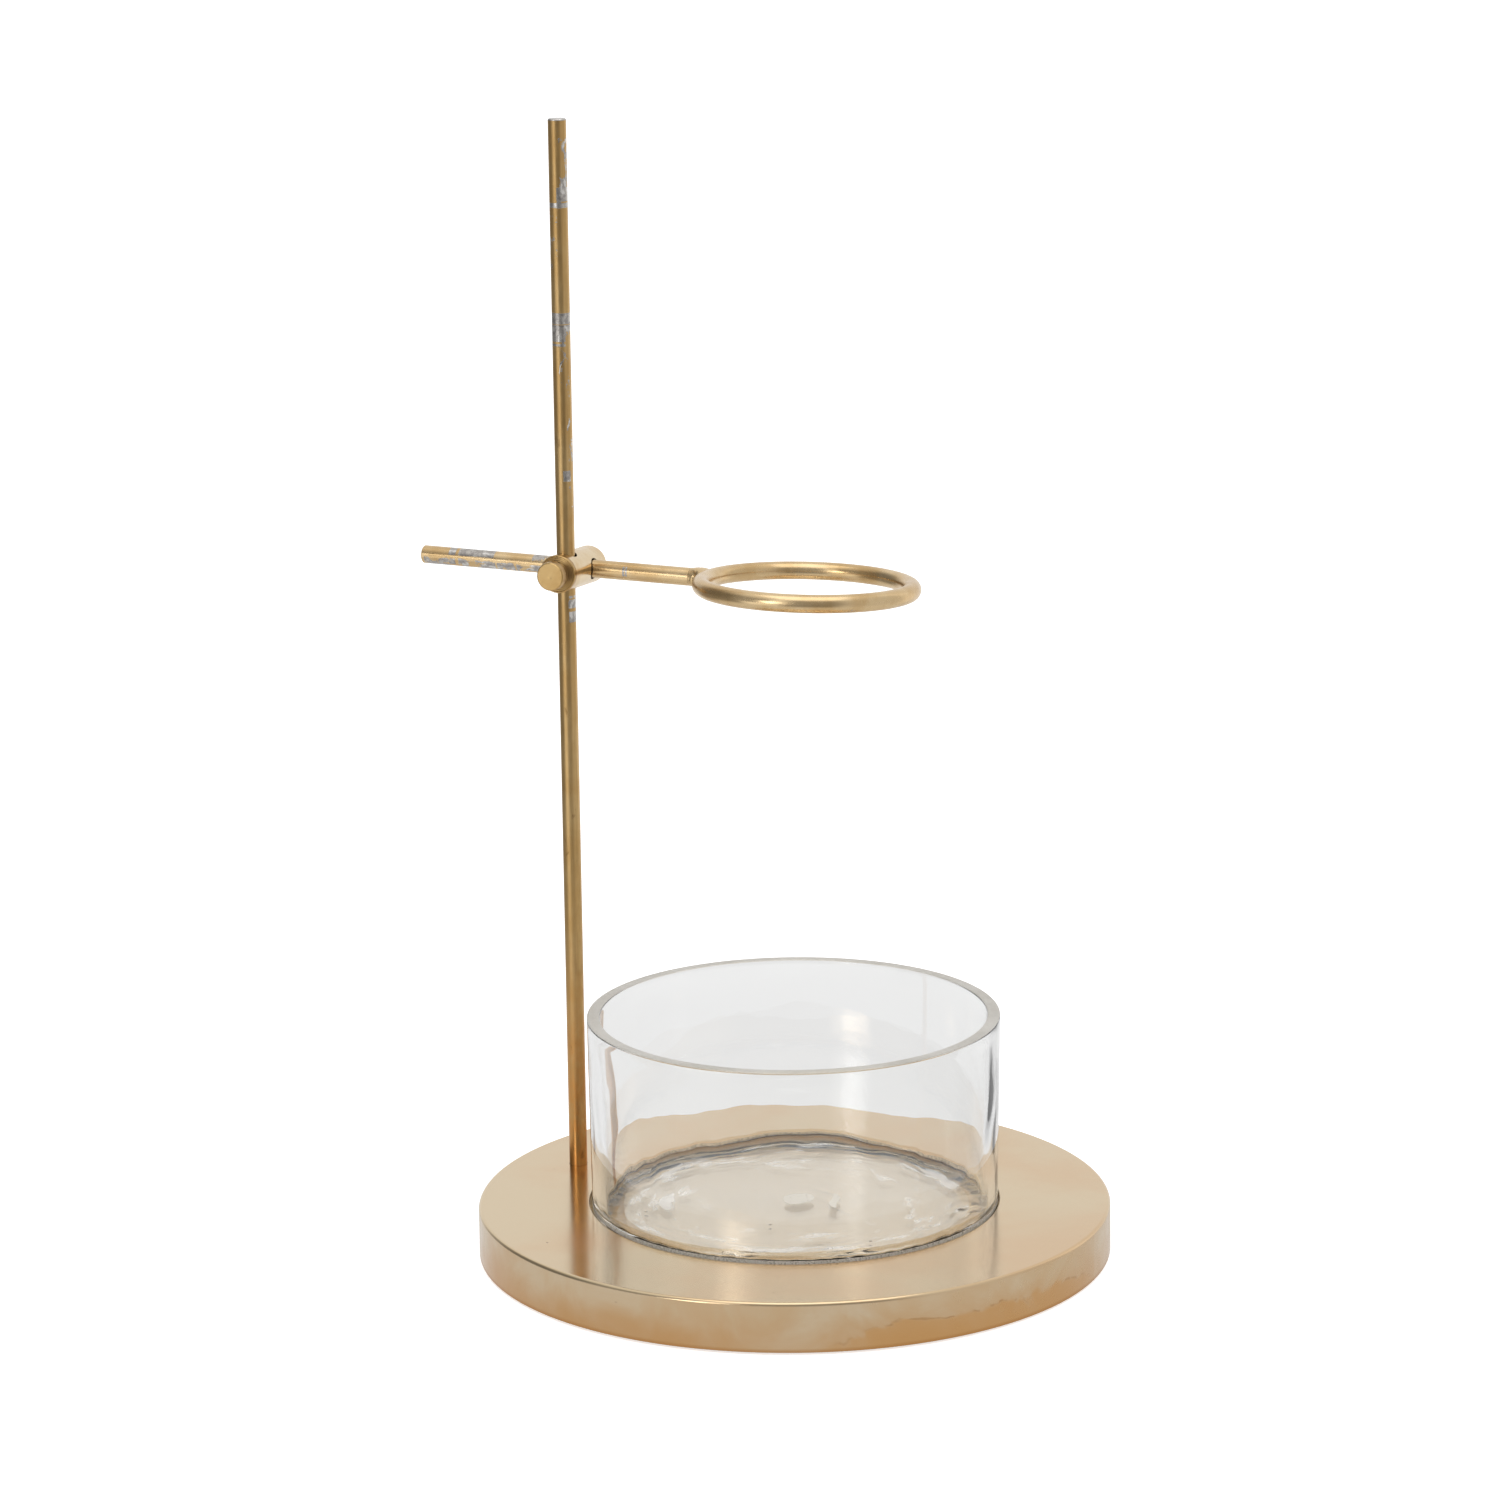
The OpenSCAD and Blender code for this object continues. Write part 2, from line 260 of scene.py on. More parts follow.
class Tree:
    """Short forms for building a node tree. A value is a number, a vector or another node's output."""

    def __init__(self, nodes):
        self.nodes = nodes
        self.nodes.nodes.clear()

    def node(self, kind, **settings):
        made = self.nodes.nodes.new(kind)
        for key, value in settings.items():
            setattr(made, key, value)
        return made

    def link(self, source, socket):
        if isinstance(source, bpy.types.NodeSocket):
            self.nodes.links.new(source, socket)
        else:
            socket.default_value = source

    def math(self, operation, a, b):
        made = self.node("ShaderNodeMath", operation=operation)
        self.link(a, made.inputs[0])
        self.link(b, made.inputs[1])
        return made.outputs[0]

    def plus(self, first, *others):
        for other in others:
            first = self.math("ADD", first, other)
        return first

    def times(self, first, *others):
        for other in others:
            first = self.math("MULTIPLY", first, other)
        return first

    def minus(self, a, b):
        return self.math("SUBTRACT", a, b)

    def vector(self, operation, *values, output=0):
        made = self.node("ShaderNodeVectorMath", operation=operation)
        for value, socket in zip(values, made.inputs):
            self.link(value, socket)
        return made.outputs[output]

    def dot(self, a, b):
        return self.vector("DOT_PRODUCT", a, b, output="Value")

    def length(self, vector):
        return self.vector("LENGTH", vector, output="Value")

    def level(self, vector):
        """A vector without its height."""
        return self.vector("MULTIPLY", vector, (1, 1, 0))

    def smooth(self, value, low, high, out_low=0.0, out_high=1.0):
        """Smooth step from out_low at low to out_high at high."""
        made = self.node("ShaderNodeMapRange", interpolation_type="SMOOTHSTEP")
        for name, number in zip(("From Min", "From Max", "To Min", "To Max"), (low, high, out_low, out_high)):
            made.inputs[name].default_value = number
        self.link(value, made.inputs["Value"])
        return made.outputs["Result"]

    def mix(self, share, a, b):
        made = self.node("ShaderNodeMix", data_type="FLOAT")
        self.link(share, made.inputs["Factor"])
        self.link(a, made.inputs[2])
        self.link(b, made.inputs[3])
        return made.outputs[0]

    def mix_colour(self, share, a, b):
        made = self.node("ShaderNodeMix", data_type="RGBA")
        self.link(share, made.inputs[0])
        self.link(a, made.inputs[6])
        self.link(b, made.inputs[7])
        return made.outputs[2]

    def noise(self, place, scale, detail=3.0, rough=0.5, distortion=0.0):
        made = self.node("ShaderNodeTexNoise")
        self.link(place, made.inputs["Vector"])
        made.inputs["Scale"].default_value = scale
        made.inputs["Detail"].default_value = detail
        made.inputs["Roughness"].default_value = rough
        made.inputs["Distortion"].default_value = distortion
        return made.outputs["Fac"]

    def noise_along(self, distance, scale):
        """Noise that changes only with one distance."""
        made = self.node("ShaderNodeTexNoise", noise_dimensions="1D")
        self.link(distance, made.inputs["W"])
        made.inputs["Scale"].default_value = scale
        return made.outputs["Fac"]

    def cells(self, place, scale):
        made = self.node("ShaderNodeTexVoronoi", feature="F1")
        self.link(place, made.inputs["Vector"])
        made.inputs["Scale"].default_value = scale
        return made.outputs["Distance"]

    def object_place(self):
        """Where a point is in the row frame, in metres, as the piece stands at rest."""
        return self.node("ShaderNodeTexCoord").outputs["Object"]

    def along(self, place, origin, axis):
        """Distance along an axis from an origin."""
        return self.minus(self.dot(place, axis), Vector(origin).dot(axis))

    def bump(self, height, distance, strength=1.0, normal=None):
        made = self.node("ShaderNodeBump")
        made.inputs["Strength"].default_value = strength
        made.inputs["Distance"].default_value = distance
        self.link(height, made.inputs["Height"])
        if normal is not None:
            self.link(normal, made.inputs["Normal"])
        return made.outputs[0]


def new_material(name):
    """A material with a bare Principled shader: (material, tree, shader)."""
    material = bpy.data.materials.new(name)
    material.use_nodes = True
    tree = Tree(material.node_tree)
    shader = tree.node("ShaderNodeBsdfPrincipled")
    output = tree.node("ShaderNodeOutputMaterial")
    tree.link(shader.outputs[0], output.inputs["Surface"])
    return material, tree, shader


def srgb(red, green, blue):
    """An 8-bit screen colour as a linear one."""
    def linear(value):
        share = value / 255
        return share / 12.92 if share <= 0.04045 else ((share + 0.055) / 1.055) ** 2.4
    return linear(red), linear(green), linear(blue), 1.0


# ---------------------------------------------------------------- materials

def base_brass_material():
    """Polished champagne brass plate with small pits, clean on top. The side has a cloudy patina low down,
    and the tide line of an old stain right of the front."""
    material, tree, shader = new_material("base_brass")
    place = tree.object_place()
    split = tree.node("ShaderNodeSeparateXYZ")
    tree.link(place, split.inputs[0])
    height = split.outputs["Z"]

    cloud = tree.noise(place, 14, 4, 0.55, 0.3)
    fine = tree.noise(place, 170, 3, 0.6)
    blotch = tree.noise(place, 34, 4, 0.6, 0.6)
    top = tree.mix_colour(tree.smooth(cloud, 0.38, 0.68), srgb(211, 190, 156), srgb(210, 180, 142))
    side = tree.mix_colour(tree.smooth(blotch, 0.34, 0.66), srgb(206, 186, 156), srgb(201, 173, 136))
    on_side = tree.smooth(height, BASE_TOP - 0.5 * MM, BASE_TOP - 1.3 * MM)
    colour = tree.mix_colour(on_side, top, side)

    # warm patina low on the side, stronger to the left and to the right of the front
    flat = tree.vector("NORMALIZE", tree.level(place))
    to_left = tree.smooth(tree.dot(flat, studio_direction(-42, 0)), 0.72, 0.96)
    to_right = tree.smooth(tree.dot(flat, studio_direction(36, 0)), 0.80, 0.96)
    uneven_height = tree.plus(height, tree.times(tree.minus(blotch, 0.5), -9 * MM))
    low = tree.smooth(uneven_height, BASE_TOP * 0.85, BASE_TOP * 0.05)
    patina = tree.plus(tree.times(to_left, 0.40), tree.times(to_right, 0.30), 0.38)
    patina = tree.times(patina, low, on_side)
    colour = tree.mix_colour(patina, colour, srgb(192, 146, 94))

    # tide line of an old stain, only to the right of the front
    on_right = tree.times(on_side, to_right)
    tide = tree.plus(tree.times(to_right, 0.50 * BASE_TOP), tree.times(tree.minus(blotch, 0.55), 14 * MM))
    below = tree.minus(tide, height)
    stained = tree.times(tree.smooth(below, -0.3 * MM, 1.4 * MM), on_right)
    colour = tree.mix_colour(tree.times(stained, 0.50), colour, srgb(196, 146, 86))
    edge_line = tree.times(tree.smooth(below, -0.4 * MM, 0.2 * MM), tree.smooth(below, 0.9 * MM, 0.3 * MM),
                           tree.smooth(fine, 0.46, 0.62, 0.0, 0.45), on_right)
    colour = tree.mix_colour(edge_line, colour, srgb(158, 112, 62))
    near_foot = tree.smooth(height, base_low.z + 1.5 * MM, base_low.z + 0.4 * MM, 0.0, 0.55)
    colour = tree.mix_colour(tree.times(near_foot, on_side), colour, srgb(172, 120, 66))

    pit = tree.smooth(tree.cells(place, 190), 0.075, 0.045)
    rare = tree.smooth(tree.noise(place, 60, 2), 0.61, 0.66)
    speck = tree.times(pit, rare)
    colour = tree.mix_colour(tree.times(speck, 0.8), colour, srgb(92, 68, 42))
    tree.link(colour, shader.inputs["Base Color"])

    shader.inputs["Metallic"].default_value = 1.0
    gloss = tree.plus(tree.smooth(cloud, 0.3, 0.8, 0.14, 0.20),
                      tree.times(on_side, tree.smooth(fine, 0.3, 0.8, 0.06, 0.12)))
    tree.link(gloss, shader.inputs["Roughness"])
    waves = tree.bump(tree.noise(place, 22, 2), 0.12 * MM, 0.5)
    grain = tree.bump(fine, 0.012 * MM, 0.6, waves)
    dents = tree.bump(tree.times(speck, -1.0), 0.10 * MM, 0.8, grain)
    tree.link(dents, shader.inputs["Normal"])
    return material


def well_brass_material():
    """The well's brass, paler than the base's: painted light, standing in for the light that reaches it
    through the glass dish.
    """
    material, tree, shader = new_material("well_brass_painted_light")
    place = tree.object_place()
    cloud = tree.noise(place, 22, 4, 0.55, 0.3)
    # pale colours: painted light, for the light that comes through the dish
    tree.link(tree.mix_colour(cloud, srgb(232, 218, 194), srgb(224, 204, 172)), shader.inputs["Base Color"])
    shader.inputs["Metallic"].default_value = 1.0
    tree.link(tree.smooth(cloud, 0.3, 0.8, 0.38, 0.48), shader.inputs["Roughness"])
    tree.link(tree.bump(tree.noise(place, 170, 3, 0.6), 0.012 * MM, 0.6), shader.inputs["Normal"])
    return material


def satin_brass_material(name, pale, deep):
    """The clamp's cleaner, softer brass, with fine turning lines round its axis."""
    material, tree, shader = new_material(name)
    place = tree.object_place()
    along = tree.along(place, CLAMP.translation, CLAMP.to_3x3().col[1])
    cloud = tree.noise(place, 110, 3, 0.55)
    fine = tree.noise(place, 900, 2)
    colour = tree.mix_colour(tree.smooth(cloud, 0.35, 0.7), pale, deep)
    tree.link(colour, shader.inputs["Base Color"])
    shader.inputs["Metallic"].default_value = 1.0
    tree.link(tree.smooth(cloud, 0.3, 0.8, 0.20, 0.28), shader.inputs["Roughness"])
    lines = tree.bump(tree.noise_along(along, 5200), 0.004 * MM, 0.5)
    tree.link(tree.bump(fine, 0.006 * MM, 0.4, lines), shader.inputs["Normal"])
    return material


WORN_ANYWAY = 0.20          # how much of the plating is gone where nothing rubs it
BARE_FROM, BARE_FULL = 0.955, 0.975     # how much has to be gone for the steel to show
STEEL_ROUGHNESS = 0.26
WEAR_EDGE = 0.2 * MM        # how soft the ends of a worn stretch are
WEAR_FADE = 9               # and its sides, in degrees


def aged_brass_material(name, origin, axis, wear, pale, deep, gloss, grain, stain=None):
    """Antique brass plating on drawn rod, worn through to grey steel in places. Each entry of wear is a
    stretch of the rod: (start, end, direction that it faces, how far it reaches round to each side in
    degrees, how much of the plating is gone). gloss is the plating's lowest and highest roughness, and grain
    is the strength of its fine bumps, die lines and grime. stain runs from where a copper tint begins to
    where it is full: partly tarnish, partly a painted reflection of the golden base top."""
    material, tree, shader = new_material(name)
    place = tree.object_place()
    along = tree.along(place, origin, axis)
    drawn_scale = Vector((1, 1, 1)) - Vector([abs(value) for value in axis]) * 0.96
    streaky_scale = Vector((1, 1, 1)) - Vector([abs(value) for value in axis]) * 0.5
    drawn = tree.vector("MULTIPLY", place, drawn_scale)
    streaky = tree.vector("MULTIPLY", place, streaky_scale)

    cloud = tree.noise(place, 60, 4, 0.6)
    lines = tree.noise(drawn, 1500, 3, 0.65)
    fine = tree.noise(place, 700, 3, 0.6)
    grime = tree.noise(streaky, 260, 4, 0.65, 0.5)
    colour = tree.mix_colour(tree.smooth(cloud, 0.36, 0.66), pale, deep)
    colour = tree.mix_colour(tree.smooth(lines, 0.40, 0.72, 0.0, 0.35 * grain), colour, srgb(154, 122, 76))
    if stain is not None:
        # copper tint towards the rod's foot: partly tarnish, partly a painted reflection of the golden base
        # top
        start, end = stain
        copper = tree.times(tree.smooth(along, start, end), tree.smooth(grime, 0.30, 0.62, 0.35, 0.9))
        colour = tree.mix_colour(copper, colour, srgb(200, 142, 80))
    colour = tree.mix_colour(tree.smooth(grime, 0.64, 0.72, 0.0, 0.5 * grain), colour, srgb(116, 84, 50))

    worn = WORN_ANYWAY
    for start, end, facing, reach, amount in wear:
        inside = tree.times(tree.smooth(along, start - WEAR_EDGE, start + WEAR_EDGE),
                            tree.smooth(along, end + WEAR_EDGE, end - WEAR_EDGE))
        if facing is not None:
            across = tree.math("DIVIDE", tree.along(place, origin, facing), ROD_R)
            within = tree.smooth(across, cosine(reach + WEAR_FADE), cosine(reach - WEAR_FADE))
            inside = tree.times(inside, within)
        worn = tree.plus(worn, tree.times(inside, amount))
    flake = tree.plus(tree.times(tree.noise(streaky, 330, 4, 0.62, 0.6), 0.84),
                      tree.times(tree.noise(place, 1500, 2, 0.6), 0.16))
    left_over = tree.smooth(tree.noise_along(along, 430), 0.655, 0.70, 0.0, 0.5)
    bare = tree.smooth(tree.minus(tree.plus(flake, worn), left_over), BARE_FROM, BARE_FULL)
    steel = tree.mix_colour(tree.smooth(fine, 0.35, 0.65), srgb(186, 181, 174), srgb(154, 149, 145))
    bright = tree.smooth(tree.noise(streaky, 600, 2, 0.5), 0.56, 0.66, 0.0, 0.7)
    steel = tree.mix_colour(bright, steel, srgb(222, 219, 214))
    tree.link(tree.mix_colour(bare, colour, steel), shader.inputs["Base Color"])

    shader.inputs["Metallic"].default_value = 1.0
    plating = tree.smooth(grime, 0.35, 0.7, gloss[0], gloss[1])
    tree.link(tree.mix(bare, plating, STEEL_ROUGHNESS), shader.inputs["Roughness"])
    skin = tree.bump(fine, 0.008 * MM, 0.5 * grain)
    die_lines = tree.bump(lines, 0.004 * MM, 0.5 * grain, skin)
    chips = tree.bump(tree.times(bare, -1.0), 0.030 * MM, 0.6, die_lines)
    tree.link(chips, shader.inputs["Normal"])
    return material


def steel_material():
    """Zinc plated steel of the parts inside."""
    material, tree, shader = new_material("zinc_steel")
    place = tree.object_place()
    cloud = tree.noise(place, 120, 4, 0.6)
    tree.link(tree.mix_colour(cloud, srgb(176, 178, 180), srgb(206, 207, 206)), shader.inputs["Base Color"])
    shader.inputs["Metallic"].default_value = 1.0
    tree.link(tree.smooth(cloud, 0.3, 0.7, 0.28, 0.42), shader.inputs["Roughness"])
    tree.link(tree.bump(tree.noise(place, 900), 0.01 * MM, 0.5), shader.inputs["Normal"])
    return material


def iron_material():
    """Rough cast iron."""
    material, tree, shader = new_material("cast_iron")
    place = tree.object_place()
    sand = tree.noise(place, 700, 4, 0.6)
    tree.link(tree.mix_colour(sand, srgb(62, 62, 64), srgb(92, 90, 88)), shader.inputs["Base Color"])
    shader.inputs["Metallic"].default_value = 0.6
    tree.link(tree.smooth(sand, 0.3, 0.7, 0.55, 0.8), shader.inputs["Roughness"])
    tree.link(tree.bump(sand, 0.2 * MM, 0.8), shader.inputs["Normal"])
    return material


def felt_material():
    """Dark pressed felt with a short nap."""
    material, tree, shader = new_material("felt")
    place = tree.object_place()
    nap = tree.noise(place, 1500, 5, 0.75, 1.2)
    cloud = tree.noise(place, 40, 3)
    colour = tree.mix_colour(nap, srgb(34, 31, 29), srgb(74, 70, 66))
    colour = tree.mix_colour(tree.smooth(cloud, 0.4, 0.7, 0.0, 0.35), colour, srgb(48, 44, 40))
    tree.link(colour, shader.inputs["Base Color"])
    shader.inputs["Roughness"].default_value = 0.95
    shader.inputs["Sheen Weight"].default_value = 0.4
    tree.link(tree.bump(nap, 0.25 * MM, 0.9), shader.inputs["Normal"])
    return material


GLASS_IOR = 1.5
SEEDS = [(-8.3, 25.8), (23.6, 43.7), (-48.7, 11.4)]     # mm to the right of the dish's middle, and before it


def glass_material(name, tint, milky=0.0):
    """Clear hand-made glass with faint waves and three dark seeds. milky is how much of the light its swirls
    stop; they run round the dish, and fade out towards its middle."""
    material, tree, shader = new_material(name)
    place = tree.object_place()
    waves = tree.noise(place, 40, 2, 0.5)
    seeds = 0.0
    for right, toward in SEEDS:
        seed = DISH_MIDDLE + studio_direction(90, 0) * right * MM + studio_direction(0, 0) * toward * MM
        away = tree.vector("DISTANCE", tree.level(place), (seed.x, seed.y, 0), output="Value")
        seeds = tree.plus(seeds, tree.smooth(away, 0.75 * MM, 0.45 * MM))
    tree.link(tree.mix_colour(seeds, tint, srgb(120, 104, 84)), shader.inputs["Base Color"])
    shader.inputs["Transmission Weight"].default_value = 1.0
    if milky:
        outward = tree.level(tree.vector("SUBTRACT", place, (DISH_MIDDLE.x, DISH_MIDDLE.y, 0)))
        radius = tree.length(outward)
        rise = tree.node("ShaderNodeCombineXYZ")
        tree.link(radius, rise.inputs["Z"])
        around = tree.vector("MULTIPLY", tree.vector("NORMALIZE", outward), (15 * MM, 15 * MM, 0))
        swirl = tree.noise(tree.vector("ADD", around, rise.outputs[0]), 130, 4, 0.7)
        milk = tree.times(tree.smooth(swirl, 0.52, 0.66), tree.smooth(radius, 22 * MM, 44 * MM))
        tree.link(tree.smooth(milk, 0.0, 1.0, 1.0, 1.0 - milky), shader.inputs["Transmission Weight"])
    shader.inputs["IOR"].default_value = GLASS_IOR
    tree.link(tree.smooth(waves, 0.2, 0.8, 0.0, 0.012), shader.inputs["Roughness"])
    tree.link(tree.bump(waves, 0.03 * MM, 0.3), shader.inputs["Normal"])
    return material


def frosted_glass_material(name, dull, pale, through, rough):
    """Frosted glass, only partly clear: ground glass, and pale glass put where light is painted. through is
    how much light goes in, rough the mean roughness."""
    material, tree, shader = new_material(name)
    place = tree.object_place()
    grind = tree.noise(place, 1400, 3, 0.6)
    cloud = tree.noise(place, 60, 3, 0.6)
    share = tree.plus(tree.smooth(grind, 0.35, 0.65, 0.0, 0.5), tree.smooth(cloud, 0.35, 0.65, 0.0, 0.5))
    tree.link(tree.mix_colour(share, dull, pale), shader.inputs["Base Color"])
    shader.inputs["Transmission Weight"].default_value = through
    shader.inputs["IOR"].default_value = GLASS_IOR
    tree.link(tree.smooth(grind, 0.3, 0.7, rough - 0.08, rough + 0.08), shader.inputs["Roughness"])
    tree.link(tree.bump(grind, 0.02 * MM, 0.6), shader.inputs["Normal"])
    return material


# ---------------------------------------------------------------- meshes

def new_piece(name, body, build, materials, replaced):
    """Makes a smooth object from a bmesh, with its body and the CAD node it stands for."""
    bmesh.ops.recalc_face_normals(build, faces=build.faces)
    for face in build.faces:
        face.smooth = True
    mesh = bpy.data.meshes.new(name)
    build.to_mesh(mesh)
    build.free()
    for material in materials:
        mesh.materials.append(material)
    piece = bpy.data.objects.new(name, mesh)
    bpy.context.scene.collection.objects.link(piece)
    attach(piece, body)
    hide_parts(replaced)
    return piece


def clipped(value):
    return max(0.0, min(1.0, value))


def turned(profile, segments, place, shift=None):
    """A bmesh turned round the local Z axis. profile runs from axis to axis as (radius, height) points;
    shift(ring, angle, radius, height) may return a moved (radius, height)."""
    build = bmesh.new()
    rows = []
    for ring, (radius, height) in enumerate(profile):
        if radius == 0:
            rows.append([build.verts.new(place @ Vector((0, 0, height)))])
            continue
        row = []
        for step in range(segments):
            angle = 2 * math.pi * step / segments
            r, h = shift(ring, angle, radius, height) if shift else (radius, height)
            row.append(build.verts.new(place @ Vector((r * math.cos(angle), r * math.sin(angle), h))))
        rows.append(row)
    for low, high in zip(rows, rows[1:]):
        for step in range(segments):
            after = (step + 1) % segments
            if len(low) == 1:
                build.faces.new((low[0], high[after], high[step]))
            elif len(high) == 1:
                build.faces.new((low[step], low[after], high[0]))
            else:
                build.faces.new((low[step], low[after], high[after], high[step]))
    return build


def arc(centre_r, centre_h, radius, start, end, steps):
    """Points on an arc, angles in degrees, as (radius, height)."""
    angles = [math.radians(start + (end - start) * i / steps) for i in range(steps + 1)]
    return [(centre_r + radius * math.cos(angle), centre_h + radius * math.sin(angle)) for angle in angles]


def line(start, end, steps):
    """Points on a straight line, without its first point."""
    return [(start[0] + (end[0] - start[0]) * i / steps, start[1] + (end[1] - start[1]) * i / steps)
            for i in range(1, steps + 1)]


def make_thumb_screw(material):
    """Milled head with a chamfer and a faint centre mark, and a threaded shank."""
    face, shank_end = (-s for s in clamp_span("thumb_screw", 1))
    head_span = clamp_span("thumb_screw", 0)
    head_r = (head_span[1] - head_span[0]) / 2
    head_t = 3.5 * MM
    shank_r = 2.0 * MM
    pitch = 0.7 * MM
    thread_depth = 0.22 * MM
    thread_steps = 6                    # rows of points in one turn of the thread
    teeth = 64
    knurl_depth = 0.11 * MM
    chamfer = 0.45 * MM
    back_round = 0.35 * MM

    profile = [(0, face - 0.08 * MM), (0.22 * MM, face), (0.40 * MM, face - 0.05 * MM), (0.60 * MM, face)]
    profile += line(profile[-1], (head_r - chamfer - 0.3 * MM, face), 8)
    rim_start = len(profile)
    profile += arc(head_r - chamfer, face - chamfer, chamfer, 90, 0, 5)
    profile += line(profile[-1], (head_r, face - head_t + back_round), 8)
    profile += arc(head_r - back_round, face - head_t + back_round, back_round, 0, -90, 4)[1:]
    rim_end = len(profile)
    profile += line(profile[-1], (shank_r + 0.4 * MM, face - head_t), 4)
    profile += [(shank_r, face - head_t - 0.3 * MM)]
    thread_top = face - head_t - 0.5 * MM
    steps = int((thread_top - shank_end) / pitch * thread_steps)
    for step in range(steps + 1):
        depth = thread_depth if step % thread_steps in (2, 3) else 0.0
        profile.append((shank_r - depth, thread_top - step * pitch / thread_steps))
    profile += [(shank_r - 0.3 * MM, shank_end), (0, shank_end)]

    def knurl(ring, angle, radius, height):
        if not rim_start <= ring < rim_end:
            return radius, height
        side = clipped((radius - (head_r - chamfer)) / chamfer)
        depth = knurl_depth * side * (0.5 - 0.5 * math.cos(teeth * angle))
        return radius - depth, height

    build = turned(profile, teeth * 6, SCREW_PLACE, knurl)
    return new_piece("thumb_screw_milled", "screw", build, [material], "thumb_screw")


def make_collar(material):
    """Turned bush at the front of the clamp, with ring grooves cut in its face."""
    inner, face = (-s for s in reversed(clamp_span("clamp_collar", 1)))
    span = clamp_span("clamp_collar", 0)
    outer_r = (span[1] - span[0]) / 2
    bore_r = 2.05 * MM
    flange_t = 1.7 * MM
    spigot_r = 4.2 * MM
    grooves = 4
    groove_pitch = 0.55 * MM
    groove_depth = 0.22 * MM

    first = outer_r - 0.45 * MM - grooves * groove_pitch
    profile = [(bore_r, inner), (bore_r, face - 0.3 * MM), (bore_r + 0.3 * MM, face), (first, face)]
    for groove in range(grooves):
        start = first + groove * groove_pitch
        for share, drop in ((0.25, 0.6), (0.5, 1.0), (0.75, 0.6), (1.0, 0.0)):
            profile.append((start + share * groove_pitch, face - drop * groove_depth))
    profile += arc(outer_r - 0.4 * MM, face - 0.4 * MM, 0.4 * MM, 80, 0, 4)
    profile += line(profile[-1], (outer_r, face - flange_t + 0.35 * MM), 3)
    profile += [(outer_r - 0.12 * MM, face - flange_t + 0.12 * MM), (outer_r - 0.5 * MM, face - flange_t)]
    profile += [(spigot_r, face - flange_t), (spigot_r, inner), (bore_r, inner)]
    build = turned(profile, 192, SCREW_PLACE)
    bmesh.ops.remove_doubles(build, verts=build.verts, dist=1e-7)
    return new_piece("clamp_collar_turned", "clamp", build, [material], "clamp_collar")


def make_weld(material):
    """Brazed bead between arm and ring: it flares sideways into the ring and leaves a cleft at the front."""
    start = clamp_span("ring_weld", 0)[0]
    end = RING_X - RING_R + 0.6 * MM            # inside the ring's wire
    stations = 36
    around = 72
    flare_by = 0.95                             # how much wider than the arm the bead is at the ring
    swell_by = 0.14                             # how much higher it is half way
    lump_by = 0.055
    cleft_at, cleft_length, cleft_by, cleft_angle = 0.36, 0.10, 0.24, math.radians(205)
    build = bmesh.new()
    rows = []
    for i in range(stations + 1):
        share = i / stations
        x = start + (end - start) * share
        flare = share * share * (3 - 2 * share)
        half_y = ROD_R * (1.0 + flare_by * flare)
        half_z = ROD_R * (1.0 + swell_by * math.sin(math.pi * min(1.0, share * 1.15)) - 0.10 * share ** 4)
        row = []
        for j in range(around):
            angle = 2 * math.pi * j / around
            lump = noise.noise(Vector((x * 420, math.cos(angle) * 1.6, math.sin(angle) * 1.6)))
            lump += 0.5 * noise.noise(Vector((x * 1100, math.cos(angle) * 4, math.sin(angle) * 4 + 7)))
            fade = math.sin(math.pi * clipped(share)) ** 0.6
            front = max(0.0, math.cos(angle - cleft_angle)) ** 3
            cleft = math.exp(-((share - cleft_at) / cleft_length) ** 2) * front * cleft_by
            scale = 1 + lump_by * lump * fade - cleft
            y = ARM_Y + half_y * scale * math.cos(angle)
            z = half_z * scale * math.sin(angle)
            row.append(build.verts.new(CLAMP @ Vector((x, y, z))))
        rows.append(row)
    for low, high in zip(rows, rows[1:]):
        for j in range(around):
            after = (j + 1) % around
            build.faces.new((low[j], low[after], high[after], high[j]))
    build.faces.new(rows[0])
    build.faces.new(rows[-1])
    return new_piece("ring_weld_bead", "ring", build, [material], "ring_weld")


DISH_SEGMENTS = 360
CLEAR, GROUND, SCAR_AND_FOLD_HIGHLIGHT, FOOT_LIGHT_BAND, HEEL_BRASS_TINT, FLOOR = range(6)       # the dish's glasses, in the order of its materials


